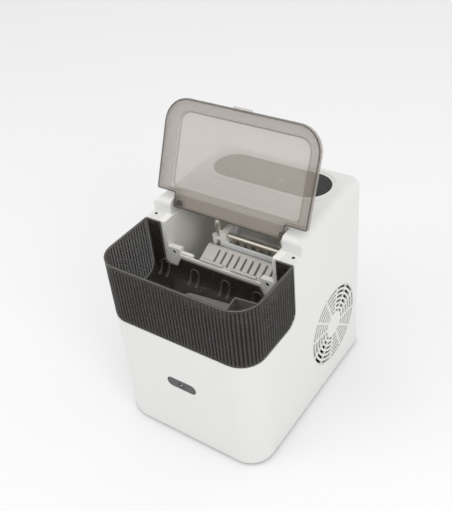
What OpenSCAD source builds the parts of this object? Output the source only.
// Compact countertop ice maker with its lid open.
// Millimetres, +Z up, front faces -Y. The origin is at the floor, below the middle of the body.

/* [Body] */
// Width of the body, side to side
body_w = 224; // [200:1:270]
// Depth of the body, front to back
body_d = 292; // [270:1:352]
// Height of the top of the body above its lower edge
body_h = 286; // [270:1:345]
// Wall thickness of the casing
shell_t = 2.5; // [2:0.1:3.5]
// Radius of the two upright front corners
front_r = 33; // [24:1:40]
// Radius of the two upright rear corners
rear_r = 20; // [16:1:26]
// Radius of the long edges along the top
top_r = 12; // [8:1:14]
// Gap left between one casing part and the next
seam_gap = 0.3; // [0.2:0.05:0.6]
// Height of the rubber feet below the body's lower edge
foot_h = 4; // [3:0.5:8]
// Radius of a rubber foot
foot_r = 9; // [7:0.5:12]

/* [Ice bucket] */
// Depth of the bucket, front to back
bucket_d = 105; // [95:1:115]
// Height of the bucket's lower edge above the body's lower edge
sill_h = 177; // [165:1:190]
// Depth of the bucket's rim below the top of the body
rim_drop = 19.6; // [16:0.1:31]
// Wall thickness of the bucket
bucket_t = 2.6; // [2.2:0.1:3.4]
// Distance from one reed to the next
reed_pitch = 5; // [4:0.25:7]
// Depth of the groove between two reeds
reed_depth = 1; // [0.6:0.1:1.4]
// Radius of the bucket's lower rear corners, seen from the side
heel_r = 20; // [12:1:24]
// Clearance round the bucket
bucket_gap = 0.5; // [0.4:0.1:1]
// How far the bucket is lifted to take it out
bucket_lift = 100; // [60:5:120]

/* [Lid] */
// Angle through which the lid turns from open to closed
lid_open = 113; // [95:1:115]
// Thickness of the lid's plate
lid_t = 2.2; // [1.8:0.1:2.6]
// Height of the lid's top above the bucket's rim when it is closed
lid_h = 9; // [8:0.5:10]
// How far the middle panel stands above the lid's border
lid_crown = 4; // [2:0.5:5]
// Width of the border round the middle panel
lid_border = 14; // [10:1:18]
// Half the width of the lid between its two hinge notches
lid_tongue = 83; // [78:1:86]
// Diameter of a hinge pin
hinge_pin_d = 4; // [3:0.5:5]
// Radial running clearance of every pin and shaft
run_gap = 0.05; // [0.02:0.01:0.1]

/* [Control panel] */
// Length of the black control panel
panel_w = 175; // [160:1:180]
// Width of the black control panel
panel_d = 59.5; // [50:0.5:62]
// Distance from the body's centre back to the panel's centre
panel_y = 94; // [88:1:98]
// Radius of a push key
key_r = 9; // [6:0.5:12]
// Travel of a push key
key_travel = 0.8; // [0.4:0.1:1.2]

/* [Side vents] */
// Radius of the round vent grilles
vent_r = 59.5; // [50:0.5:62]
// Distance from the body's centre back to the grille's centre
vent_y = 59; // [50:1:66]
// Height of the grille's centre above the body's lower edge
vent_h = 92; // [80:1:100]
// Number of rings of slots
vent_rings = 6; // [3:1:7]
// Width of a slot
slot_w = 4; // [3:0.25:5]
// Number of ribs that cross the grille from edge to edge
vent_ribs = 6; // [3:1:8]

/* [Ice making] */
// Number of freezing fingers
fingers = 6; // [4:1:7]
// Distance from one finger to the next
finger_pitch = 12.4; // [10:0.1:13]
// Diameter of a freezing finger and of its tube
finger_d = 8; // [6:0.5:8.5]
// Angle through which the water tray swings to empty itself
tray_swing = 80; // [50:1:85]
// Number of drain slots in the ice slide
slide_slots = 9; // [5:1:10]
// Distance from one slide slot to the next
slide_pitch = 10.3; // [9:0.1:10.5]

/* [Cooling] */
// Radius of the compressor
compressor_r = 50; // [40:1:50]
// Height of the compressor's can
compressor_h = 112; // [95:1:116]
// Radius of the fan over its blades
fan_r = 47; // [36:1:48]
// Number of fan blades
fan_blades = 7; // [3:1:9]
// Thickness of the condenser, side to side
condenser_t = 24; // [16:1:26]
// Number of condenser fins
condenser_fins = 18; // [8:1:24]

/* [Hidden] */
$fn = 48;

// Edges and levels of the body
side_x = body_w / 2;
front_y = -body_d / 2;
rear_y = body_d / 2;
base_z = foot_h;
top_z = base_z + body_h;
sill_z = base_z + sill_h;
rim_z = top_z - rim_drop;
bucket_rear_y = front_y + bucket_d;
inner_x = side_x - shell_t;
slip = 0.1;
past = 1;

// Seam between the casing and the top cover, and the low shoulders in front of the hinge
cover_seam_z = rim_z - 8.4;
shoulder_z = rim_z;
hinge_y = bucket_rear_y + 33;
hinge_z = rim_z + 9.6;
hump_y = hinge_y - 14;
plateau_y = hinge_y + 6.5;
hump_x = lid_tongue + 1;
hump_r = 8;

// Lid, in its closed place
lid_top = rim_z + lid_h;
lid_rear_y = hinge_y + 3;
lid_notch_y = hump_y - 2;
lid_rest_gap = 0.5;
knuckle_r = 5.5;
knuckle_x0 = lid_tongue - 9;
knuckle_x1 = lid_tongue - 0.2;
tab_w = 27;
tab_h = 3;
tab_out = 2.5;
tab_z = rim_z + 1.4;

// Control panel stack
panel_t = 1.2;
panel_top_z = top_z + 0.2;
panel_ring_w = 4;
panel_ring_h = 1;
panel_ring_gap = 5;
key_gap = 0.3;
key_flange = 1.3;
key_flange_t = 1.5;
key_skirt = panel_top_z - top_z + shell_t + 0.1;
key_x = [-15, 20];
key_y = panel_y - 6;
lamp_r = 1.5;
lamp_pitch = 14;
lamp_count = 5;
lamp_y = panel_y + 9;
board_t = 1.6;
board_z = top_z - 14;
board_w = 90;
board_d = 40;
switch_size = 6;
switch_h = 3.4;

// Bucket
bucket_z = sill_z + 0.4;
floor_t = 2.4;
floor_z = bucket_z + 3;
rear_wall_t = 2.2;
rear_wall_y = bucket_rear_y - bucket_gap;
rim_band = 4;
low_rim_z = rim_z - 50.4;
low_rim_x = 61;
eye_rim_z = low_rim_z - 15;
wing_x = side_x - 24;
arch_w = 14;
arch_pitch = 49;
arch_x0 = 10;
arch_top_z = low_rim_z - 11;
arch_t = 1;
reed_steps = 4;
side_run = bucket_d - bucket_gap - front_r;
arc_run = front_r * PI / 2;
front_run = body_w - 2 * front_r;
reed_run = 2 * side_run + 2 * arc_run + front_run;
reed_count = round(reed_run / reed_pitch);

// Chamber behind the bucket
liner_x = 81.3;
liner_t = 2.4;
liner_front_y = bucket_rear_y + 0.3;
liner_floor_z = sill_z - 19;
liner_back_y = 71;
liner_slope_y = 37;
liner_roof_z = top_z - 6;
band_x = wing_x;
ledge_x = wing_x + 4.2;
sill_wall_z = low_rim_z + 3;
eye_block_w = 19;
eye_block_d = 8;
front_lip = 4;

// Water tank below the bucket
tank_inset = 5.5;
tank_t = 2.5;
tank_floor_z = base_z + 40;
tank_rear_y = bucket_rear_y + 7;
tank_top_z = sill_z - 3;
tank_flange_t = 2.4;
tank_spill_z = liner_floor_z - liner_t;

// Tray, its pivot, and the freezing fingers
pivot_y = 27;
pivot_z = rim_z - 20.4;
tube_y = 0;
tube_z = pivot_z - 3.5;
tube_r = finger_d / 2;
tube_bend = 8;
tube_left_x = -26;
tube_right_x = 72;
tube_rise_z = rim_z - 2.4;
finger_x0 = -2;
finger_tip_z = tube_z - 21;
tray_ri = 38.8;
tray_t = 2.2;
tray_x0 = -10;
tray_x1 = 75.4;
tray_end_t = 2.4;
tray_lip_z = pivot_z - 5;
tray_rear_rel = -14;
tray_wall_rel = -9;
ear_r = 6;
shaft_r = 2.5;
hanger_x0 = -20;
hanger_x1 = -10.6;
hanger_right_x = 76.4;
hanger_right_t = 3.8;
rail_y0 = 34.5;
rail_y1 = 39;
rail_z0 = pivot_z + 4;
rail_z1 = pivot_z + 11;
nozzle_x = -33;
nozzle_z = pivot_z - 16;
hose_r = 4;

// Ice slide between the tray and the bucket
slide_x0 = -33;
slide_x1 = liner_x;
slide_front_y = liner_front_y + liner_t;
slide_front_z = sill_wall_z + 1.3;
slide_t = 2.4;
slide_slot_w = 3.4;
slide_slot_x0 = -12.6;
slide_radius = tray_ri + tray_t + 1.4;
slide_top_z = rim_z - 34.4;
slide_top_y = pivot_y - sqrt(pow(slide_radius + slide_t, 2) - pow(pivot_z - slide_top_z, 2));
slide_foot_angle = 238;
bar_r = 2.6;

// Machinery behind and below the chamber
vent_z = base_z + vent_h;
grille_t = shell_t;
grille_gap = 0.3;
vent_hub_r = 17;
vent_rib_w = 3;
vent_pitch = (vent_r - 3.2 - 21.5) / 5;
vent_tilt = 20;
base_t = 3;
base_under_z = base_z + 0.5;
base_top_z = base_under_z + base_t;
base_wall_h = 9;
compressor_x = -16;
compressor_y = 62;
compressor_z = base_top_z + 14;
grommet_h = 12;
grommet_ring = compressor_r + 9;
fan_x = side_x - 28;
fan_depth = 16;
shroud_half = 52;
shroud_bore = fan_r + 2;
condenser_x0 = fan_x - 4 - condenser_t;
condenser_z0 = vent_z - 50;
condenser_z1 = vent_z + 50;
condenser_y0 = vent_y - 50;
condenser_y1 = vent_y + 50;
coil_r = 3;
coil_rows = 5;
pump_x = nozzle_x + 1;
pump_y = bucket_rear_y - 36;
pump_r = 17;
pump_h = 30;
impeller_r = 12;
drain_x = -76;
drain_z = tank_floor_z + 8;
drain_r = 5.5;
drain_bore = 4;
plug_r = 9.5;
inlet_x = 66;
inlet_z = base_z + 28;

// Rear panel
rear_flange = 3.4;
rear_half = 88;
rear_low_z = base_top_z + base_wall_h + rear_flange + seam_gap;
rear_high_z = cover_seam_z - 14;
screw_r = 1.6;
screw_head_r = 3;
louvre_w = 96;
louvre_h = 3.2;
louvre_count = 9;
louvre_pitch = 8;
louvre_z0 = base_z + 150;

// ---------- shared shapes ----------

// Outline of the body seen from above, moved inwards by inset
module outline(inset) {
    fr = front_r - inset;
    rr = rear_r - inset;
    x = side_x - inset;
    yf = front_y + inset;
    yr = rear_y - inset;
    translate([-x, yf + fr]) square([2 * x, yr - rr - yf - fr]);
    translate([-x + fr, yf]) square([2 * (x - fr), fr + past]);
    translate([-x + rr, yr - rr - past]) square([2 * (x - rr), rr + past]);
    for (side = [-1, 1]) {
        translate([side * (x - fr), yf + fr]) circle(fr);
        translate([side * (x - rr), yr - rr]) circle(rr);
    }
}

module slab(z0, z1, inset) {
    translate([0, 0, z0]) linear_extrude(z1 - z0) outline(inset);
}

module block(x0, x1, y0, y1, z0, z1) {
    translate([x0, y0, z0]) cube([x1 - x0, y1 - y0, z1 - z0]);
}

module rod_x(x0, x1, y, z, r) {
    translate([x0, y, z]) rotate([0, 90, 0]) cylinder(h = x1 - x0, r = r);
}

module rod_y(x, y0, y1, z, r) {
    translate([x, y0, z]) rotate([-90, 0, 0]) cylinder(h = y1 - y0, r = r);
}

module rod_z(x, y, z0, z1, r) {
    translate([x, y, z0]) cylinder(h = z1 - z0, r = r);
}

// Bar along X with round ends
module bar_x(x0, x1, y, z, r) {
    translate([x0, y, z]) rotate([0, 90, 0]) rotate_extrude() intersection() {
        union() {
            translate([0, r]) circle(r);
            translate([0, x1 - x0 - r]) circle(r);
            translate([-r, r]) square([2 * r, x1 - x0 - 2 * r]);
        }
        square([r, x1 - x0]);
    }
}

// Stadium seen from above
module stadium(w, d) {
    square([w - d, d], center = true);
    for (side = [-1, 1]) translate([side * (w - d) / 2, 0]) circle(d / 2);
}

// Extrudes a shape drawn in Y and Z along X, from x0 to x1
module along_x(x0, x1) {
    translate([x0, 0, 0]) rotate([90, 0, 90]) linear_extrude(x1 - x0) children();
}

function unit(v) = v / norm(v);

// One straight leg of a pipe
module leg(from, to, r) {
    d = to - from;
    polar = acos(d[2] / norm(d));
    turn = atan2(d[1], d[0]);
    translate(from) rotate([0, polar, turn]) cylinder(h = norm(d), r = r);
}

// One bend of a pipe at a corner, between the directions a and b
module bend(corner, a, b, r, bend_r) {
    angle = acos(a * b);
    w = unit(cross(a, b));
    n = cross(w, a);
    c = corner - a * bend_r * tan(angle / 2) + n * bend_r;
    multmatrix([
        [-n[0], a[0], w[0], c[0]],
        [-n[1], a[1], w[1], c[1]],
        [-n[2], a[2], w[2], c[2]],
        [0, 0, 0, 1]
    ]) rotate_extrude(angle = angle) translate([bend_r, 0]) circle(r);
}

function back_off(a, b, bend_r) = bend_r * tan(acos(a * b) / 2);

// A round pipe along a route, with every corner rounded to bend_r
module pipe(route, r, bend_r) {
    last = len(route) - 1;
    dirs = [for (i = [0 : last - 1]) unit(route[i + 1] - route[i])];
    for (i = [0 : last - 1]) {
        start = i == 0 ? 0 : back_off(dirs[i - 1], dirs[i], bend_r);
        stop = i == last - 1 ? 0 : back_off(dirs[i], dirs[i + 1], bend_r);
        leg(route[i] + dirs[i] * start, route[i + 1] - dirs[i] * stop, r);
    }
    for (i = [1 : last - 1]) bend(route[i], dirs[i - 1], dirs[i], r, bend_r);
}

// ---------- casing ----------

// Everything in front of the rear edge of the bucket and above the sill, with rounded heels
module bucket_window(gap) {
    y1 = bucket_rear_y - gap;
    z0 = sill_z + gap;
    x = side_x + past;
    block(-x, x, front_y - past, y1 - heel_r, z0, top_z);
    block(-x, x, front_y - past, y1, z0 + heel_r, top_z);
    rod_x(-x, x, y1 - heel_r, z0 + heel_r, heel_r);
}

module outer_shell() {
    color([0.91, 0.91, 0.9])
    difference() {
        slab(base_z, cover_seam_z, 0);
        slab(base_z - past, cover_seam_z + past, shell_t);
        bucket_window(0);
        rod_x(-side_x - past, side_x + past, vent_y, vent_z, vent_r + grille_gap);
        block(-rear_half, rear_half, rear_y - 2 * shell_t, rear_y + past, rear_low_z, rear_high_z);
        badge_pocket(0);
    }
}

module base_tray() {
    wall_h = base_wall_h;
    wall_t = 2.5;
    gap = shell_t;
    stud_h = 9;
    color([0.3, 0.31, 0.32])
    difference() {
        union() {
            slab(base_under_z, base_top_z, gap);
            difference() {
                slab(base_top_z - past, base_top_z + wall_h, gap);
                slab(base_top_z - 2 * past, base_top_z + wall_h + past, gap + wall_t);
            }
            for (p = grommet_places()) rod_z(p[0], p[1], base_top_z - past, base_top_z + stud_h, 2.5);
            tank_stands();
        }
        for (p = foot_places()) rod_z(p[0], p[1], base_under_z - past, base_top_z + past, foot_r / 3);
    }
}

// Four ribs that carry the water tank
module tank_stands() {
    half = side_x - tank_inset - 34;
    for (x = [-half, -half / 3, half / 3, half]) {
        block(x - 1.5, x + 1.5, front_y + front_r, tank_rear_y - 10, base_top_z - past, tank_floor_z);
    }
}

function foot_places() = [
    for (sx = [-1, 1], sy = [-1, 1]) [sx * (side_x - 26), sy * (rear_y - 30)]
];

module rubber_feet() {
    color([0.12, 0.12, 0.12])
    for (p = foot_places()) {
        rod_z(p[0], p[1], 0, base_under_z, foot_r);
        rod_z(p[0], p[1], base_under_z - slip, base_top_z, foot_r / 3);
    }
}

function rear_screw_places() = [
    for (sx = [-1, 1], k = [0 : 2])
    [sx * (rear_half - 6), rear_low_z + 8 + k * (rear_high_z - rear_low_z - 16) / 2]
];

module rear_panel() {
    gap = seam_gap;
    color([0.88, 0.88, 0.87])
    difference() {
        union() {
            block(-rear_half + gap, rear_half - gap, rear_y - shell_t, rear_y,
                rear_low_z + gap, rear_high_z - gap);
            block(-rear_half - rear_flange, rear_half + rear_flange, rear_y - 2 * shell_t,
                rear_y - shell_t, rear_low_z - rear_flange, rear_high_z + rear_flange);
        }
        for (k = [0 : louvre_count - 1]) {
            z = louvre_z0 + k * louvre_pitch;
            block(-louvre_w / 2, louvre_w / 2, rear_y - 3 * shell_t, rear_y + past, z, z + louvre_h);
        }
        rod_y(drain_x, rear_y - 3 * shell_t, rear_y + past, drain_z, plug_r + 1);
        rod_y(inlet_x, rear_y - 3 * shell_t, rear_y + past, inlet_z, 8);
        for (p = rear_screw_places()) {
            rod_y(p[0], rear_y - 3 * shell_t, rear_y + past, p[1], screw_r);
            rod_y(p[0], rear_y - 1.5, rear_y + past, p[1], screw_head_r);
        }
    }
}

module rear_screws() {
    color([0.6, 0.6, 0.62])
    for (p = rear_screw_places()) difference() {
        union() {
            rod_y(p[0], rear_y - 2 * shell_t, rear_y - slip, p[1], screw_r);
            rod_y(p[0], rear_y - 1.5, rear_y - slip, p[1], screw_head_r);
        }
        block(p[0] - 2, p[0] + 2, rear_y - 0.9, rear_y + past, p[1] - 0.4, p[1] + 0.4);
        block(p[0] - 0.4, p[0] + 0.4, rear_y - 0.9, rear_y + past, p[1] - 2, p[1] + 2);
    }
}

// Quarter of a rounded edge: a strip of width w whose outer upper corner has radius r
module edge_profile(w, r) {
    square([w - r, r]);
    translate([w - r, 0]) intersection() {
        circle(r);
        square(r);
    }
}

// The body's upper block: upright sides, and long edges rounded over to the top
module domed_block(inset, y0) {
    r = top_r - inset;
    rr = rear_r - inset;
    x = side_x - inset;
    yr = rear_y - inset;
    z = top_z - top_r;
    intersection() {
        slab(cover_seam_z + (inset > 0 ? -past : 0), z, inset);
        block(-side_x, side_x, y0, rear_y, 0, top_z);
    }
    for (side = [0, 1]) mirror([side, 0, 0]) {
        translate([0, yr - rr, z]) rotate([90, 0, 0]) linear_extrude(yr - rr - y0) edge_profile(x, r);
        translate([x - rr, yr - rr, z]) rotate_extrude(angle = 90) edge_profile(rr, r);
    }
    translate([-(x - rr), yr - rr, z]) rotate([90, 0, 90]) linear_extrude(2 * (x - rr)) edge_profile(rr, r);
}

// The cover's solid before it is hollowed, with the space for the lid and the shoulders cut away
module cover_solid(inset) {
    z0 = cover_seam_z - 2 * past;
    difference() {
        domed_block(inset, bucket_rear_y + inset);
        block(-hump_x - inset, hump_x + inset, front_y, plateau_y + inset, z0, top_z + past);
        block(-ledge_x - seam_gap - inset, ledge_x + seam_gap + inset, front_y, hump_y + inset, z0,
            top_z + past);
        block(-side_x, side_x, front_y, hump_y + inset, shoulder_z - inset, top_z + past);
        difference() {
            block(-side_x, side_x, hump_y + inset - slip, hump_y + hump_r, top_z - hump_r, top_z + past);
            rod_x(-side_x - past, side_x + past, hump_y + hump_r, top_z - hump_r, hump_r - inset);
        }
    }
}

module top_cover() {
    color([0.92, 0.92, 0.91])
    difference() {
        union() {
            difference() {
                cover_solid(0);
                cover_solid(shell_t);
            }
            translate([0, panel_y, top_z - slip]) linear_extrude(panel_ring_h + slip) difference() {
                stadium(panel_w + 2 * (panel_ring_gap + panel_ring_w),
                    panel_d + 2 * (panel_ring_gap + panel_ring_w));
                stadium(panel_w + 2 * panel_ring_gap, panel_d + 2 * panel_ring_gap);
            }
        }
        translate([0, panel_y, panel_top_z - panel_t]) linear_extrude(panel_t + past) {
            stadium(panel_w + 2 * seam_gap, panel_d + 2 * seam_gap);
        }
        block(-hump_x, hump_x, plateau_y - past, plateau_y + shell_t + past, cover_seam_z - 2 * past,
            tube_rise_z + tube_r + 1.5);
        for (x = key_x) rod_z(x, key_y, top_z - 2 * shell_t, top_z + past, key_r + key_gap);
        for (x = lamp_places()) rod_z(x, lamp_y, top_z - 2 * shell_t, top_z + past, lamp_r);
        for (side = [-1, 1]) {
            rod_x(side * hump_x - 2 * shell_t, side * hump_x + 2 * shell_t, hinge_y, hinge_z,
                hinge_pin_d / 2);
            rod_z(bumper_x(side), bumper_y(), shoulder_z - 1, shoulder_z + past, bumper_r());
        }
    }
}

function bumper_x(side) = side * (side_x - 8);
function bumper_y() = bucket_rear_y + 12;
function bumper_r() = 2;

module lid_bumpers() {
    color([0.35, 0.35, 0.35])
    for (side = [-1, 1]) rod_z(bumper_x(side), bumper_y(), shoulder_z - 1, shoulder_z + 0.3, bumper_r());
}

// Round grille with rings of slots, cut across by straight ribs
module grille(side) {
    x1 = side * side_x;
    x0 = side * (side_x - grille_t);
    low = min(x0, x1);
    high = max(x0, x1);
    flange = side * (side_x - grille_t - 1.2);
    difference() {
        union() {
            rod_x(low, high, vent_y, vent_z, vent_r);
            difference() {
                rod_x(min(flange, x0), max(flange, x0), vent_y, vent_z, vent_r + 2.5);
                rod_x(min(flange, x0) - past, max(flange, x0) + past, vent_y, vent_z, vent_r - 1);
            }
        }
        difference() {
            for (k = [0 : vent_rings - 1]) {
                middle = 21.5 + k * vent_pitch;
                difference() {
                    rod_x(low - past, high + past, vent_y, vent_z, middle + slot_w / 2);
                    rod_x(low - 2 * past, high + 2 * past, vent_y, vent_z, middle - slot_w / 2);
                }
            }
            for (k = [0 : vent_ribs - 1]) {
                translate([low - 2 * past, vent_y, vent_z])
                rotate([side * (vent_tilt + k * 180 / vent_ribs), 0, 0])
                translate([0, -2 * vent_r, -vent_rib_w / 2])
                cube([grille_t + 4 * past, 4 * vent_r, vent_rib_w]);
            }
        }
    }
}

module side_grille_right() {
    color([0.9, 0.9, 0.89]) grille(1);
}

module side_grille_left() {
    color([0.9, 0.9, 0.89]) grille(-1);
}

// Pill-shaped badge let into the front
badge_w = 46;
badge_h = 16;
badge_z = base_z + 101.5;
badge_t = 0.8;

module badge_pocket(shrink) {
    depth = badge_t + (shrink > 0 ? 0 : past);
    translate([0, front_y + badge_t, badge_z]) rotate([90, 0, 0]) linear_extrude(depth) {
        stadium(badge_w - 2 * shrink, badge_h - 2 * shrink);
    }
}

// A six-armed frost star cut into the badge
module front_badge() {
    color([0.2, 0.2, 0.21])
    difference() {
        badge_pocket(slip);
        for (k = [0 : 2]) {
            translate([0, front_y + 0.4, badge_z]) rotate([0, 60 * k, 0])
            translate([-6, -past, -0.6]) cube([12, past, 1.2]);
        }
    }
}

// ---------- lid ----------

// Puts a lid drawn in its closed place into its open one
module opened() {
    translate([0, hinge_y, hinge_z]) rotate([-lid_open, 0, 0]) translate([0, -hinge_y, -hinge_z]) children();
}

// Outline of the closed lid; the corners beside the hinge are cut back for the humps
module lid_outline(inset) {
    intersection() {
        outline(inset);
        union() {
            translate([-side_x, front_y]) square([body_w, lid_notch_y - inset - front_y]);
            translate([-lid_tongue + inset, front_y]) {
                square([2 * (lid_tongue - inset), lid_rear_y - inset - front_y]);
            }
        }
    }
}

module crown_outline(inset) {
    intersection() {
        outline(lid_border + inset);
        translate([-side_x, front_y]) square([body_w, lid_notch_y - inset - front_y]);
    }
}

module lid() {
    skirt_z = rim_z + lid_rest_gap;
    color([0.5, 0.47, 0.44, 0.5])
    opened()
    difference() {
        union() {
            difference() {
                translate([0, 0, skirt_z]) linear_extrude(lid_top - skirt_z) lid_outline(0);
                translate([0, 0, skirt_z - past]) linear_extrude(lid_top - lid_t - skirt_z + past) {
                    lid_outline(lid_t);
                }
                block(-lid_tongue + lid_t, lid_tongue - lid_t, lid_notch_y - 2 * lid_t, lid_rear_y + past,
                    skirt_z - past, lid_top - lid_t);
                block(-side_x, side_x, lid_notch_y + slip, lid_rear_y + past, skirt_z - past,
                    lid_top - lid_t - 2);
            }
            translate([0, 0, lid_top - slip]) linear_extrude(lid_crown + slip) crown_outline(0);
            for (side = [-1, 1]) {
                rod_x(min(side * knuckle_x0, side * knuckle_x1), max(side * knuckle_x0, side * knuckle_x1),
                    hinge_y, hinge_z, knuckle_r);
            }
        }
        translate([0, 0, lid_top - lid_t - past]) linear_extrude(lid_crown + past) crown_outline(lid_t);
        for (side = [-1, 1]) {
            rod_x(side * lid_tongue - 12, side * lid_tongue + 12, hinge_y, hinge_z,
                hinge_pin_d / 2 + run_gap);
        }
    }
}

module lid_finger_tab() {
    color([0.85, 0.84, 0.82, 0.8])
    opened()
    block(-tab_w / 2, tab_w / 2, front_y - tab_out, front_y, tab_z, tab_z + tab_h);
}

module hinge_pins() {
    color([0.2, 0.2, 0.2])
    for (side = [-1, 1]) {
        inner = side * (knuckle_x0 + 1);
        outer = side * (hump_x + shell_t);
        rod_x(min(inner, outer), max(inner, outer), hinge_y, hinge_z, hinge_pin_d / 2);
    }
}

// ---------- control panel ----------

function lamp_places() = [
    for (k = [0 : lamp_count - 1]) (k - (lamp_count - 1) / 2) * lamp_pitch
];

module panel_overlay() {
    color([0.1, 0.1, 0.11])
    difference() {
        translate([0, panel_y, panel_top_z - panel_t]) linear_extrude(panel_t) stadium(panel_w, panel_d);
        for (x = key_x) rod_z(x, key_y, top_z - 2 * shell_t, top_z + past, key_r + key_gap);
        for (x = lamp_places()) rod_z(x, lamp_y, top_z - 2 * shell_t, top_z + past, lamp_r);
    }
}

// A key: its cap, a flange that stops it below the cover, and a stem that meets the switch
module push_key(x) {
    flange_z = panel_top_z - key_skirt - key_flange_t;
    rod_z(x, key_y, flange_z + slip, panel_top_z, key_r);
    rod_z(x, key_y, flange_z, flange_z + key_flange_t, key_r + key_flange);
    rod_z(x, key_y, board_z + board_t + switch_h + key_travel + 0.2, flange_z + slip, 2.5);
}

module power_key() {
    color([0.13, 0.13, 0.14]) push_key(key_x[0]);
}

module size_key() {
    color([0.13, 0.13, 0.14]) push_key(key_x[1]);
}

module indicator_lights() {
    color([0.75, 0.8, 0.85])
    for (x = lamp_places()) rod_z(x, lamp_y, board_z + board_t + 2, panel_top_z - slip, lamp_r - slip);
}

module control_board() {
    color([0.1, 0.35, 0.2]) {
        block(-board_w / 2, board_w / 2, panel_y - board_d / 2, panel_y + board_d / 2, board_z,
            board_z + board_t);
        for (x = key_x) {
            block(x - switch_size / 2, x + switch_size / 2, key_y - switch_size / 2,
                key_y + switch_size / 2, board_z + board_t, board_z + board_t + switch_h);
        }
        for (x = lamp_places()) rod_z(x, lamp_y, board_z + board_t, board_z + board_t + 2, 1.2);
        block(-38, -24, panel_y + 12, panel_y + 19, board_z + board_t, board_z + board_t + 5);
        for (sx = [-1, 1], sy = [-1, 1]) {
            rod_z(sx * (board_w / 2 - 4), panel_y + sy * (board_d / 2 - 4), board_z + board_t - slip,
                top_z - shell_t, 2.5);
        }
    }
}

// ---------- ice bucket and scoop ----------

// Point at the distance s along the bucket's visible wall, moved outwards by out
function reed_point(s, out) =
    s < side_run ? [side_x + out, rear_wall_y - s] :
    s < side_run + arc_run ? corner_point(1, -(s - side_run) / front_r * 180 / PI, out) :
    s < side_run + arc_run + front_run ? [side_x - front_r - (s - side_run - arc_run), front_y - out] :
    s < reed_run - side_run ?
        corner_point(-1, -90 - (s - side_run - arc_run - front_run) / front_r * 180 / PI, out) :
    [-side_x - out, front_y + front_r + s - (reed_run - side_run)];

function corner_point(side, angle, out) =
    [side * (side_x - front_r), front_y + front_r] + (front_r + out) * [cos(angle), sin(angle)];

// Each reed is one half wave; the grooves lie reed_depth inside the outline
module reeded_outline() {
    polygon([
        for (k = [0 : reed_count * reed_steps])
        reed_point(k / reed_steps * reed_run / reed_count,
            reed_depth * (abs(sin(180 * k / reed_steps)) - 1))
    ]);
}

// Body outline in front of the line y
module front_outline(inset, y) {
    intersection() {
        outline(inset);
        translate([-side_x, front_y]) square([body_w, y - front_y]);
    }
}

module ice_bucket() {
    color([0.24, 0.23, 0.22, 0.85])
    difference() {
        intersection() {
            union() {
                translate([0, 0, bucket_z]) linear_extrude(rim_z - rim_band - bucket_z) reeded_outline();
                translate([0, 0, rim_z - rim_band - slip]) linear_extrude(rim_band + slip) {
                    front_outline(0, rear_wall_y);
                }
            }
            bucket_window(0.4);
        }
        difference() {
            translate([0, 0, floor_z + floor_t]) linear_extrude(rim_z) {
                front_outline(bucket_t, rear_wall_y - rear_wall_t);
            }
            for (k = [-1 : 1]) rear_arch(arch_x0 + k * arch_pitch);
            heel_fillet();
        }
        translate([0, 0, bucket_z - past]) linear_extrude(floor_z - bucket_z + past) {
            front_outline(bucket_t + 1, rear_wall_y - heel_r);
        }
        low_rim_cut();
        for (ix = [-3 : 3], iy = [0, 1]) {
            block(ix * 24 - 7, ix * 24 + 7, front_y + 30 + iy * 30, front_y + 33 + iy * 30, bucket_z,
                floor_z + 2 * floor_t);
        }
    }
}

// Arch-topped stiffening pad on the inside of the rear wall
module rear_arch(x) {
    y0 = rear_wall_y - rear_wall_t - arch_t;
    block(x - arch_w / 2, x + arch_w / 2, y0, rear_wall_y, bucket_z, arch_top_z - arch_w / 2);
    rod_y(x, y0, rear_wall_y, arch_top_z - arch_w / 2, arch_w / 2);
}

// Keeps the floor joined to the rear wall round the rounded heel
module heel_fillet() {
    x = side_x + past;
    y1 = rear_wall_y - rear_wall_t;
    difference() {
        block(-x, x, y1 - heel_r + bucket_t, y1 + past, bucket_z, floor_z + floor_t + heel_r - bucket_t);
        rod_x(-x - past, x + past, y1 - heel_r + bucket_t, floor_z + floor_t + heel_r - bucket_t,
            heel_r - bucket_t);
    }
}

// The low middle of the rear wall, over which the ice falls in
module low_rim_cut() {
    translate([0, rear_wall_y + past, 0]) rotate([90, 0, 0]) linear_extrude(rear_wall_t + 2 * past) {
        polygon([
            [-wing_x, rim_z + past], [-wing_x, eye_rim_z], [-low_rim_x - 7, eye_rim_z],
            [-low_rim_x, low_rim_z], [low_rim_x, low_rim_z], [low_rim_x + 7, eye_rim_z],
            [wing_x, eye_rim_z], [wing_x, rim_z + past]
        ]);
    }
}

// Scoop lying in the bucket: an open tray with a flat handle
scoop_x = 40;
scoop_y = -84;
scoop_z = floor_z + floor_t + 0.5;
scoop_l = 54;
scoop_w = 40;
scoop_h = 22;
scoop_t = 2;
handle_l = 56;
handle_w = 20;

module ice_scoop() {
    handle_z = scoop_z + scoop_h - 8;
    color([0.8, 0.79, 0.77])
    translate([scoop_x, scoop_y, 0]) rotate([0, 0, 6]) {
        difference() {
            block(0, scoop_l, -scoop_w / 2, scoop_w / 2, scoop_z, scoop_z + scoop_h);
            block(scoop_t, scoop_l + past, -scoop_w / 2 + scoop_t, scoop_w / 2 - scoop_t,
                scoop_z + scoop_t, scoop_z + scoop_h + past);
        }
        difference() {
            union() {
                block(-handle_l, slip, -handle_w / 2, handle_w / 2, handle_z, handle_z + 3.5);
                rod_z(-handle_l, 0, handle_z, handle_z + 3.5, handle_w / 2);
            }
            rod_z(-handle_l, 0, handle_z - past, handle_z + 4, 4);
        }
    }
}

// ---------- water tank and chamber ----------

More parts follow.
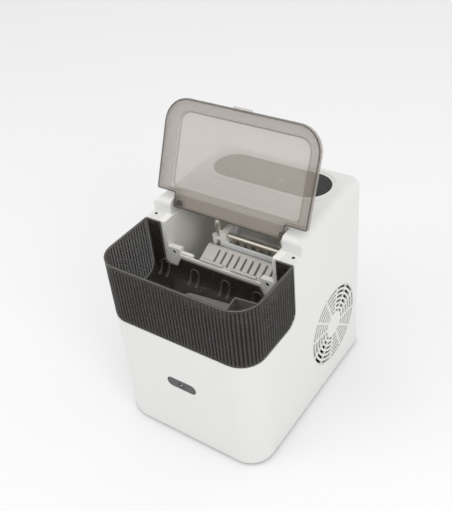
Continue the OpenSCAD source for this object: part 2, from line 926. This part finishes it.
module water_tank() {
    rear = tank_rear_y;
    color([0.86, 0.87, 0.86])
    difference() {
        union() {
            translate([0, 0, tank_floor_z]) linear_extrude(tank_top_z - tank_floor_z) {
                front_outline(tank_inset, rear);
            }
            translate([0, 0, tank_top_z - tank_flange_t]) linear_extrude(tank_flange_t) {
                front_outline(shell_t + seam_gap, bucket_rear_y);
            }
        }
        translate([0, 0, tank_floor_z + tank_t]) linear_extrude(tank_top_z) {
            front_outline(tank_inset + tank_t, rear - tank_t);
        }
        block(-side_x + tank_inset + tank_t, side_x - tank_inset - tank_t, rear - 2 * tank_t, rear + past,
            tank_spill_z, tank_top_z + past);
        rod_y(drain_x, rear - 2 * tank_t, rear + past, drain_z, drain_r);
    }
}

// Side walls of the chamber seen from the side
module liner_side_profile(grow) {
    t = liner_t * grow;
    polygon([
        [liner_front_y - (grow > 0 ? 0 : past), liner_floor_z - t],
        [liner_slope_y, liner_floor_z - t],
        [liner_back_y + t, liner_floor_z + liner_back_y - liner_slope_y],
        [liner_back_y + t, liner_roof_z],
        [plateau_y + shell_t + 1, liner_roof_z],
        [plateau_y + shell_t + 1, shoulder_z],
        [liner_front_y - (grow > 0 ? 0 : past), shoulder_z]
    ]);
}

module chamber_liner() {
    outer = liner_x + liner_t;
    color([0.9, 0.9, 0.88])
    difference() {
        union() {
            difference() {
                along_x(-outer, outer) liner_side_profile(1);
                along_x(-liner_x, liner_x) liner_side_profile(0);
                block(-liner_x, liner_x, liner_front_y, plateau_y + shell_t + 2, liner_floor_z + 8,
                    top_z);
            }
            block(-liner_x - past, liner_x + past, liner_front_y, liner_front_y + liner_t, sill_z,
                sill_wall_z);
            block(-liner_x - slip, liner_x + slip, liner_front_y - front_lip, liner_front_y + slip,
                liner_floor_z - liner_t, liner_floor_z);
            block(-liner_x, liner_x, plateau_y + shell_t + 1, liner_back_y + slip, liner_roof_z - liner_t,
                liner_roof_z);
            for (side = [0, 1]) mirror([side, 0, 0]) {
                block(liner_x, band_x, liner_front_y, liner_front_y + liner_t, sill_z, shoulder_z);
                block(liner_x, ledge_x, liner_front_y, hump_y - seam_gap, shoulder_z - liner_t,
                    shoulder_z);
                block(liner_x - eye_block_w, liner_x + slip, liner_front_y, liner_front_y + eye_block_d,
                    low_rim_z - 25, low_rim_z + 12);
            }
            rod_x(-liner_x + 15, -liner_x + 38, liner_front_y + 4, sill_wall_z + 2, bar_r);
        }
        for (side = [-1, 1]) {
            rod_y(side * eye_x, liner_front_y - past, liner_front_y + 6, eye_z, eye_r);
        }
        rod_x(liner_x - past, outer + past, pivot_y, pivot_z, shaft_r + run_gap);
        for (x = [tube_left_x, tube_right_x]) {
            rod_y(x, liner_back_y - past, liner_back_y + liner_t + past, tube_rise_z, tube_r + slip);
        }
    }
}

// Infra-red eyes that watch how full the bucket is
eye_x = liner_x - 9;
eye_z = low_rim_z + 5.5;
eye_r = 2.6;

module ice_level_eyes() {
    color([0.05, 0.05, 0.06])
    for (side = [-1, 1]) rod_y(side * eye_x, liner_front_y + 1, liner_front_y + 6, eye_z, eye_r);
}

// Insulation between the chamber and the casing
module foam(y1) {
    gap = seam_gap;
    difference() {
        block(liner_x + liner_t, inner_x - gap, liner_front_y + liner_t + gap, y1, sill_z,
            cover_seam_z - gap);
        block(0, band_x + gap, front_y, liner_front_y + liner_t + gap, 0, top_z);
    }
    block(band_x + gap, inner_x - gap, liner_front_y, liner_front_y + liner_t + 2 * gap, sill_z,
        cover_seam_z - gap);
}

module foam_left() {
    color([0.14, 0.14, 0.14]) mirror([1, 0, 0]) foam(58);
}

module foam_right() {
    color([0.14, 0.14, 0.14]) foam(0);
}

// ---------- ice slide, tray and fingers ----------

// The slide seen from the side: it drops to the bucket in front and follows the tray behind
module slide_profile() {
    difference() {
        union() {
            polygon([
                [slide_front_y, slide_front_z - slide_t], [slide_front_y, slide_front_z],
                [slide_top_y - 0.5, slide_top_z], [slide_top_y + 4, slide_top_z],
                [slide_top_y + 8, slide_top_z - slide_t - 3]
            ]);
            difference() {
                translate([pivot_y, pivot_z]) circle(slide_radius + slide_t);
                translate([pivot_y - 100, slide_top_z - 0.4]) square([200, 100]);
                translate([slide_foot_y(), pivot_z - 100]) square([200, 200]);
            }
        }
        translate([pivot_y, pivot_z]) circle(slide_radius);
    }
}

function slide_foot_y() = pivot_y + slide_radius * cos(slide_foot_angle);

module ice_slide() {
    color([0.87, 0.87, 0.84]) {
        difference() {
            along_x(slide_x0, slide_x1) slide_profile();
            for (k = [0 : slide_slots - 1]) {
                x = slide_slot_x0 + k * slide_pitch;
                block(x - slide_slot_w / 2, x + slide_slot_w / 2, slide_front_y + 2, slide_top_y - 2.5,
                    slide_front_z - 20, slide_top_z);
            }
            block(slide_x0 - past, nozzle_x + 1 + hose_r + past, slide_top_y + 6, pivot_y, pivot_z - 60,
                pivot_z);
            block(liner_x - eye_block_w - seam_gap, slide_x1 + past, slide_front_y - past,
                liner_front_y + eye_block_d + seam_gap, slide_front_z - 10, slide_top_z);
        }
        for (span = [[slide_x0, 4], [16, 55]]) {
            bar_x(span[0], span[1], slide_front_y + 1, slide_front_z + bar_r - 1.2, bar_r);
        }
    }
}

module tray_frame() {
    color([0.9, 0.9, 0.88])
    difference() {
        union() {
            block(hanger_x0, hanger_x1, tube_y - 6.5, rail_y1, nozzle_z - 2, pivot_z + 2.5);
            rod_x(hanger_x0, hanger_x1, pivot_y, pivot_z, ear_r);
            block(hanger_x0, hanger_x1, rail_y0, liner_back_y, rail_z0 - 10, rail_z1);
            block(hanger_x0, hanger_right_x + hanger_right_t, rail_y0, rail_y1, rail_z0, rail_z1);
            block(hanger_right_x, hanger_right_x + hanger_right_t, pivot_y - 8, liner_back_y,
                pivot_z - 10, rail_z1);
            rod_x(nozzle_x, hanger_x0 + slip, tube_y, nozzle_z + 3, 3);
            rod_z(nozzle_x + 1, tube_y, nozzle_z - 4, nozzle_z + 8, hose_r);
        }
        rod_x(hanger_x0 - past, hanger_x1 + past, tube_y, tube_z, tube_r);
        rod_x(hanger_x0 - past, hanger_x1 + past, pivot_y, pivot_z, shaft_r);
        rod_x(hanger_right_x - past, hanger_right_x + hanger_right_t + past, pivot_y, pivot_z,
            shaft_r + run_gap);
    }
}

module tray_pivot_pin() {
    color([0.7, 0.7, 0.72])
    rod_x(hanger_x0 + 1, tray_x0 + tray_end_t + 0.6, pivot_y, pivot_z, shaft_r);
}

// The tray seen from the side, relative to its pivot
module tray_arc(r) {
    intersection() {
        circle(r);
        translate([-2 * tray_ri, -2 * tray_ri]) {
            square([2 * tray_ri + tray_rear_rel + tray_t, 2 * tray_ri + tray_lip_z - pivot_z]);
        }
    }
}

module tray_section() {
    difference() {
        tray_arc(tray_ri + tray_t);
        difference() {
            tray_arc(tray_ri);
            translate([tray_rear_rel, -2 * tray_ri]) square([tray_t + past, 4 * tray_ri]);
        }
        translate([tray_rear_rel - slip, tray_wall_rel]) square(2 * tray_ri);
    }
}

module tray_end() {
    difference() {
        tray_arc(tray_ri + tray_t);
        translate([-tray_ri + 1, tray_wall_rel]) square(2 * tray_ri);
    }
    circle(ear_r);
    polygon([
        [tray_rear_rel - 8, tray_wall_rel - 4], [-3, ear_r - 1], [ear_r - 0.5, -2],
        [tray_rear_rel + tray_t, tray_wall_rel - 12]
    ]);
}

module water_tray() {
    color([0.93, 0.94, 0.95])
    translate([0, pivot_y, pivot_z])
    difference() {
        union() {
            along_x(tray_x0, tray_x1) tray_section();
            along_x(tray_x0, tray_x0 + tray_end_t) tray_end();
            along_x(tray_x1 - tray_end_t, tray_x1) tray_end();
        }
        rod_x(tray_x0 - past, tray_x0 + tray_end_t + past, 0, 0, shaft_r + run_gap);
        rod_x(tray_x1 - tray_end_t - past, tray_x1 + past, 0, 0, shaft_r);
    }
}

module tray_shaft() {
    color([0.7, 0.7, 0.72])
    rod_x(tray_x1 - tray_end_t, liner_x + liner_t + 6, pivot_y, pivot_z, shaft_r);
}

// Geared motor beside the chamber; its output socket takes the tray's shaft
module tray_motor() {
    x0 = liner_x + liner_t;
    can_r = 22;
    offset_y = 9;
    color([0.75, 0.75, 0.74])
    difference() {
        union() {
            rod_x(x0 + 1, x0 + 17, pivot_y + offset_y, pivot_z, can_r);
            rod_x(x0, x0 + 2, pivot_y, pivot_z, 7);
            for (side = [-1, 1]) {
                block(x0, x0 + 2, pivot_y + offset_y + side * (can_r + 2) - 6,
                    pivot_y + offset_y + side * (can_r + 2) + 6, pivot_z - 5, pivot_z + 5);
            }
        }
        rod_x(x0 - past, x0 + 8, pivot_y, pivot_z, shaft_r + run_gap);
    }
}

module evaporator() {
    back = liner_back_y + 8;
    color([0.72, 0.7, 0.64]) {
        pipe([
            [tube_left_x, back, tube_rise_z], [tube_left_x, tube_y, tube_rise_z],
            [tube_left_x, tube_y, tube_z], [tube_right_x, tube_y, tube_z],
            [tube_right_x, tube_y, tube_rise_z], [tube_right_x, back, tube_rise_z]
        ], tube_r, tube_bend);
        for (k = [0 : fingers - 1]) {
            x = finger_x0 + k * finger_pitch;
            rod_z(x, tube_y, finger_tip_z + tube_r, tube_z, tube_r);
            translate([x, tube_y, finger_tip_z + tube_r]) sphere(tube_r);
        }
    }
}

// ---------- water circuit ----------

module pump_body() {
    z0 = tank_floor_z + tank_t;
    color([0.2, 0.21, 0.23])
    difference() {
        union() {
            rod_z(pump_x, pump_y, z0, z0 + pump_h, pump_r);
            rod_z(pump_x, pump_y, z0 + pump_h - past, z0 + pump_h + 24, 10);
            block(pump_x - hose_r, pump_x + hose_r, pump_y, pump_y + pump_r + 10, z0 + 4,
                z0 + 4 + 2 * hose_r);
            rod_z(pump_x, pump_y + pump_r + 10, z0 + 4, z0 + 22, hose_r);
        }
        rod_z(pump_x, pump_y, z0 + 4, z0 + 14, impeller_r + 1.5);
        for (k = [0 : 5]) {
            translate([pump_x, pump_y, z0 - past]) rotate([0, 0, 60 * k]) translate([7, 0, 0]) {
                cylinder(h = 6, r = 2);
            }
        }
        rod_z(pump_x, pump_y, z0 + 2, z0 + pump_h + 10, 1.5);
    }
}

module pump_shaft() {
    z0 = tank_floor_z + tank_t;
    color([0.7, 0.7, 0.72]) rod_z(pump_x, pump_y, z0 + 2, z0 + pump_h + 10, 1.5);
}

module pump_impeller() {
    z0 = tank_floor_z + tank_t;
    color([0.9, 0.9, 0.9])
    difference() {
        union() {
            rod_z(pump_x, pump_y, z0 + 5, z0 + 13, 4);
            rod_z(pump_x, pump_y, z0 + 5, z0 + 6.5, impeller_r);
            for (k = [0 : 5]) {
                translate([pump_x, pump_y, z0 + 6]) rotate([0, 0, 60 * k]) {
                    translate([2, -0.7, 0]) cube([impeller_r - 2.2, 1.4, 6]);
                }
            }
        }
        rod_z(pump_x, pump_y, z0, z0 + 20, 1.5 + run_gap);
    }
}

module water_hose() {
    z0 = tank_floor_z + tank_t + 22;
    pass_z = liner_floor_z + hose_r + 3;
    y0 = pump_y + pump_r + 10;
    color([0.8, 0.82, 0.82])
    pipe([
        [pump_x, y0, z0], [pump_x, y0, pass_z], [pump_x, tube_y, pass_z],
        [pump_x, tube_y, nozzle_z - 4]
    ], hose_r - 0.5, 9);
}

module level_probes() {
    z0 = tank_floor_z + tank_t;
    color([0.75, 0.75, 0.77])
    for (x = [-86, -78]) {
        rod_z(x, tank_rear_y - tank_t - 3, z0 + 30, tank_spill_z - 8, 1.2);
        block(x - 3, x + 3, tank_rear_y - tank_t - 6, tank_rear_y - tank_t, tank_spill_z - 8,
            tank_spill_z);
    }
}

module drain_pipe() {
    color([0.8, 0.8, 0.8])
    difference() {
        rod_y(drain_x, tank_rear_y - tank_t, rear_y - 7, drain_z, drain_r);
        rod_y(drain_x, tank_rear_y - tank_t - past, rear_y, drain_z, drain_bore);
    }
}

module drain_plug() {
    color([0.25, 0.25, 0.26])
    difference() {
        union() {
            rod_y(drain_x, rear_y - 6, rear_y - slip, drain_z, plug_r);
            rod_y(drain_x, rear_y - 18, rear_y - 5, drain_z, drain_bore - run_gap);
        }
        for (side = [-1, 1]) {
            block(drain_x + side * 5.5 - 3, drain_x + side * 5.5 + 3, rear_y - 4, rear_y + past,
                drain_z - 8, drain_z + 8);
        }
    }
}

// Bushing in the rear panel where the mains lead enters
module power_inlet() {
    color([0.1, 0.1, 0.1])
    difference() {
        union() {
            rod_y(inlet_x, rear_y - 3 * shell_t, rear_y - slip, inlet_z, 8);
            rod_y(inlet_x, rear_y - 4 * shell_t, rear_y - 2 * shell_t, inlet_z, 10);
        }
        rod_y(inlet_x, rear_y - 5 * shell_t, rear_y + past, inlet_z, 3.5);
    }
}

// ---------- machinery ----------

function grommet_places() = [
    for (k = [0 : 2])
    [compressor_x, compressor_y] + grommet_ring * [cos(90 + 120 * k), sin(90 + 120 * k)]
];

// Can with a rounded top and bottom, standing on a three-cornered foot plate
module compressor() {
    round_r = 26;
    r = compressor_r;
    z0 = compressor_z;
    color([0.1, 0.1, 0.11])
    difference() {
        union() {
            translate([compressor_x, compressor_y, z0]) rotate_extrude() {
                square([r - round_r, compressor_h]);
                translate([0, round_r]) square([r, compressor_h - 2 * round_r]);
                for (z = [round_r, compressor_h - round_r]) intersection() {
                    translate([r - round_r, z]) circle(round_r);
                    square([r, compressor_h]);
                }
            }
            for (p = grommet_places()) {
                rod_z(p[0], p[1], z0 - 3, z0, 11);
                rod_z((p[0] + compressor_x) / 2, (p[1] + compressor_y) / 2, z0 - 3, z0, 22);
            }
            rod_z(compressor_x, compressor_y, z0 - 3, z0 + slip, r - round_r);
            block(compressor_x - 16, compressor_x + 16, compressor_y - r - 5, compressor_y - r + 14,
                z0 + 34, z0 + 66);
        }
        for (p = grommet_places()) rod_z(p[0], p[1], z0 - 4, z0 + 5, 3.6);
    }
}

module compressor_grommets() {
    color([0.15, 0.15, 0.15])
    for (p = grommet_places()) difference() {
        union() {
            rod_z(p[0], p[1], base_top_z, compressor_z - 3, 8);
            rod_z(p[0], p[1], base_top_z, compressor_z, 3.6);
        }
        rod_z(p[0], p[1], base_top_z - past, compressor_z + past, 2.5);
    }
}

function coil_z(k) = condenser_z0 + 12 + k * (condenser_z1 - condenser_z0 - 24) / (coil_rows - 1);

module condenser_coil() {
    x = condenser_x0 + condenser_t / 2;
    far = condenser_y1 + 5;
    near = condenser_y0 - 5;
    color([0.7, 0.42, 0.28]) {
        for (k = [0 : coil_rows - 1]) {
            rod_y(x, near, far, coil_z(k), coil_r);
            if (k < coil_rows - 1) {
                half = (coil_z(k + 1) - coil_z(k)) / 2;
                at_near = k % 2 == 0;
                translate([x, at_near ? near : far, coil_z(k) + half])
                rotate([0, -90, 0]) rotate([0, 0, at_near ? 180 : 0])
                rotate_extrude(angle = 180) translate([half, 0]) circle(coil_r);
            }
        }
    }
}

module condenser_plates() {
    step = (condenser_y1 - condenser_y0) / (condenser_fins - 1);
    fin_t = 0.8;
    x1 = condenser_x0 + condenser_t;
    color([0.75, 0.76, 0.78])
    difference() {
        union() {
            for (k = [0 : condenser_fins - 1]) {
                y = condenser_y0 + k * step;
                block(condenser_x0, x1, y - fin_t / 2, y + fin_t / 2, condenser_z0, condenser_z1);
            }
            for (z = [condenser_z0, condenser_z1 - 2]) {
                block(condenser_x0, x1, condenser_y0, condenser_y1, z, z + 2);
            }
            for (y = [condenser_y0, condenser_y1 - 8]) {
                block(condenser_x0, condenser_x0 + 2, y, y + 8, base_top_z, condenser_z0 + 5);
                block(condenser_x0, x1, y, y + 8, base_top_z, base_top_z + 2);
            }
        }
        for (k = [0 : coil_rows - 1]) {
            rod_y(condenser_x0 + condenser_t / 2, condenser_y0 - past, condenser_y1 + past, coil_z(k),
                coil_r);
        }
    }
}

// Square frame round the fan, with three arms to the motor
module fan_shroud() {
    x0 = fan_x - 2;
    x1 = x0 + fan_depth + 4;
    arm_t = 3;
    color([0.16, 0.16, 0.17]) {
        difference() {
            block(x0, x1, vent_y - shroud_half, vent_y + shroud_half, vent_z - shroud_half,
                vent_z + shroud_half);
            rod_x(x0 - past, x1 + past, vent_y, vent_z, shroud_bore);
            for (sy = [-1, 1], sz = [-1, 1]) {
                rod_x(x0 - past, x1 + past, vent_y + sy * (shroud_half - 5),
                    vent_z + sz * (shroud_half - 5), 2);
            }
        }
        difference() {
            union() {
                for (k = [0 : 2]) translate([x0, vent_y, vent_z]) rotate([120 * k, 0, 0]) {
                    translate([0, 0, -2.5]) cube([arm_t, shroud_bore + 1, 5]);
                }
                rod_x(x0, x0 + arm_t, vent_y, vent_z, 15);
            }
            rod_x(x0 - past, x0 + arm_t + past, vent_y, vent_z, 2.5);
        }
        for (y = [vent_y - shroud_half, vent_y + shroud_half - 8]) {
            block(x0, x1, y, y + 8, base_top_z, vent_z - shroud_half + slip);
        }
    }
}

module fan_motor() {
    x0 = fan_x + 1;
    color([0.3, 0.3, 0.32]) {
        rod_x(x0, x0 + 4, vent_y, vent_z, 13);
        rod_x(fan_x - 2, x0 + fan_depth - 5, vent_y, vent_z, 2.5);
    }
}

module fan_rotor() {
    x0 = fan_x + 5.6;
    hub_r = 17;
    hub_l = fan_depth - 4;
    blade_w = 26;
    color([0.12, 0.12, 0.13])
    difference() {
        union() {
            rod_x(x0, x0 + hub_l, vent_y, vent_z, hub_r);
            intersection() {
                difference() {
                    rod_x(x0, x0 + hub_l, vent_y, vent_z, fan_r);
                    rod_x(x0 - past, x0 + hub_l + past, vent_y, vent_z, hub_r - 1);
                }
                for (k = [0 : fan_blades - 1]) {
                    translate([x0 + hub_l / 2, vent_y, vent_z]) rotate([360 * k / fan_blades, 0, 0])
                    rotate([0, 0, 28]) translate([-1, hub_r - 3, -blade_w / 2])
                    rotate([0, 20, 0]) cube([1.8, fan_r, blade_w]);
                }
            }
        }
        rod_x(x0 - past, x0 + hub_l - 3, vent_y, vent_z, 2.5 + run_gap);
        rod_x(x0 - past, x0 + 2, vent_y, vent_z, hub_r - 3);
    }
}

// Solenoid valve that sends hot gas through the fingers to free the ice
valve_x = 22;
valve_y = 124;
valve_z = compressor_z + compressor_h + 8;

module gas_valve() {
    color([0.15, 0.25, 0.5]) {
        block(valve_x - 12, valve_x + 12, valve_y - 10, valve_y + 10, valve_z + 8, valve_z + 32);
        rod_z(valve_x, valve_y, valve_z - 8, valve_z + 9, 7);
        rod_z(valve_x, valve_y, valve_z + 31, valve_z + 38, 4);
    }
}

drier_x = 54;
drier_y = 124;
drier_z0 = coil_z(0) + 20;

module filter_drier() {
    color([0.72, 0.45, 0.3])
    translate([drier_x, drier_y, drier_z0]) {
        cylinder(h = 50, r = 8);
        translate([0, 0, -8]) cylinder(h = 8, r1 = 3, r2 = 8);
        translate([0, 0, 50]) cylinder(h = 8, r1 = 8, r2 = 3);
    }
}

// From the top of the compressor to the upper end of the coil
module discharge_pipe() {
    top = compressor_z + compressor_h;
    x = condenser_x0 + condenser_t / 2;
    color([0.7, 0.42, 0.28])
    pipe([
        [compressor_x + 14, compressor_y, top], [compressor_x + 14, compressor_y, top + 8],
        [compressor_x + 14, condenser_y0 - 5 - 2 * coil_r, top + 8], [x, condenser_y0 - 11, top + 8],
        [x, condenser_y0 - 11, coil_z(coil_rows - 1)], [x, condenser_y0 - 5, coil_z(coil_rows - 1)]
    ], 2.5, 4.5);
}

// From the lower end of the coil through the drier
module liquid_pipe() {
    x = condenser_x0 + condenser_t / 2;
    color([0.7, 0.42, 0.28])
    pipe([
        [x, condenser_y1 + 5, coil_z(0)], [x, drier_y, coil_z(0)], [drier_x, drier_y, coil_z(0)],
        [drier_x, drier_y, drier_z0 - 8]
    ], 2, 4);
}

// From the left end of the finger tube back to the compressor
module suction_pipe() {
    back = liner_back_y + 8;
    top = compressor_z + compressor_h;
    color([0.7, 0.42, 0.28])
    pipe([
        [tube_left_x, back, tube_rise_z], [tube_left_x, back + 9, tube_rise_z],
        [tube_left_x, back + 9, top + 14], [tube_left_x, compressor_y, top + 14],
        [tube_left_x, compressor_y, top]
    ], 3, 6);
}

// From the drier to the right end of the finger tube, with the branch that the valve feeds
module hot_gas_pipe() {
    back = liner_back_y + 8;
    color([0.7, 0.42, 0.28]) {
        pipe([
            [drier_x, drier_y, drier_z0 + 58], [drier_x, drier_y, tube_rise_z],
            [tube_right_x, drier_y, tube_rise_z], [tube_right_x, back, tube_rise_z]
        ], 2.5, 6);
        rod_x(valve_x + 6.5, drier_x - 1, valve_y, valve_z, 1.5);
    }
}

// From the discharge pipe to the valve
module valve_feed_pipe() {
    top = compressor_z + compressor_h;
    color([0.7, 0.42, 0.28])
    pipe([
        [compressor_x + 14, compressor_y + 3, top + 8], [compressor_x + 14, valve_y, top + 8],
        [valve_x - 6.5, valve_y, top + 8]
    ], 1.5, 5);
}

module power_board() {
    y = 112;
    color([0.15, 0.4, 0.22]) {
        block(-84, 8, y, y + 1.6, 176, 246);
        for (x = [-80, 4], z = [180, 242]) rod_y(x, y + 1.6 - slip, rear_y - 2 * shell_t, z, 2.5);
        block(-78, -58, y - 16, y + slip, 190, 210);
        block(-50, -34, y - 18, y + slip, 184, 204);
        rod_y(-4, y - 18, y + slip, 196, 8);
        rod_y(-66, y - 14, y + slip, 230, 6);
        block(-44, -16, y - 8, y + slip, 222, 240);
    }
}

// ---------- drawing ----------

outer_shell();
base_tray();
rubber_feet();
rear_panel();
rear_screws();
top_cover();
side_grille_right();
side_grille_left();
front_badge();
lid();
lid_finger_tab();
hinge_pins();
lid_bumpers();
panel_overlay();
power_key();
size_key();
indicator_lights();
control_board();
ice_bucket();
ice_scoop();
water_tank();
chamber_liner();
foam_left();
foam_right();
ice_level_eyes();
ice_slide();
tray_frame();
water_tray();
tray_shaft();
tray_pivot_pin();
tray_motor();
evaporator();
pump_body();
pump_impeller();
pump_shaft();
water_hose();
level_probes();
drain_pipe();
drain_plug();
power_inlet();
compressor();
compressor_grommets();
condenser_coil();
condenser_plates();
fan_shroud();
fan_motor();
fan_rotor();
gas_valve();
filter_drier();
discharge_pipe();
liquid_pipe();
suction_pipe();
hot_gas_pipe();
valve_feed_pipe();
power_board();
